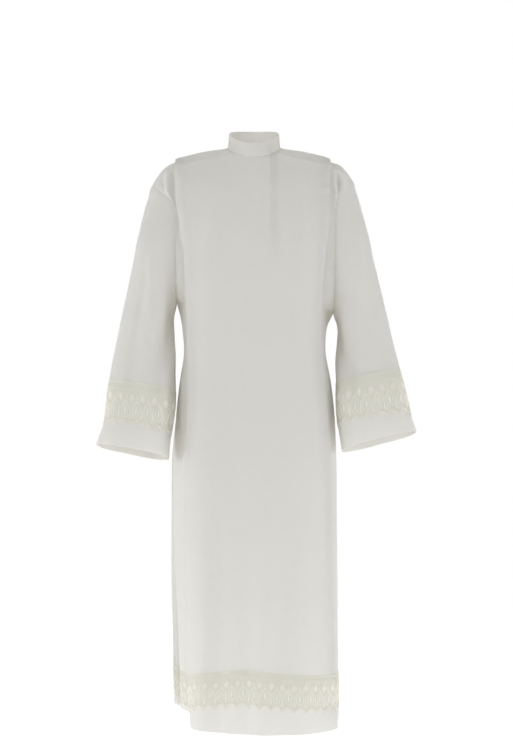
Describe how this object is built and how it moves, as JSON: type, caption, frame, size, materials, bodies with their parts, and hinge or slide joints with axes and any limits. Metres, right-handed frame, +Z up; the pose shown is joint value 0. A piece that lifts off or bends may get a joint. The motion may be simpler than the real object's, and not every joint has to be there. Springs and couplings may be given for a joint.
{
  "type": "alb",
  "caption": "Long loose liturgical robe with a stand-up collar, deep side pleats, wide hanging sleeves and lace bands above the cuffs and the hem, shaped as worn.",
  "frame": {"origin": "middle of the neck opening at the height of the collar seam, where the wearer's neck and shoulders hold the garment", "axes": "+Z up, the front faces -Y, and +X is the wearer's left"},
  "size_m": [0.7917, 0.4488, 1.4769],
  "materials": {
    "cloth": "matte, fine plain weave, slightly translucent",
    "lace": "matte cream lace"
  },
  "bodies": {
    "root": {"front": "cloth", "back": "cloth", "sleeve_left": "cloth", "sleeve_right": "cloth", "collar": "cloth", "placket": "cloth", "hem_lace_front": "lace", "hem_lace_back": "lace", "cuff_lace_left": "lace", "cuff_lace_right": "lace"}
  },
  "joints": []
}
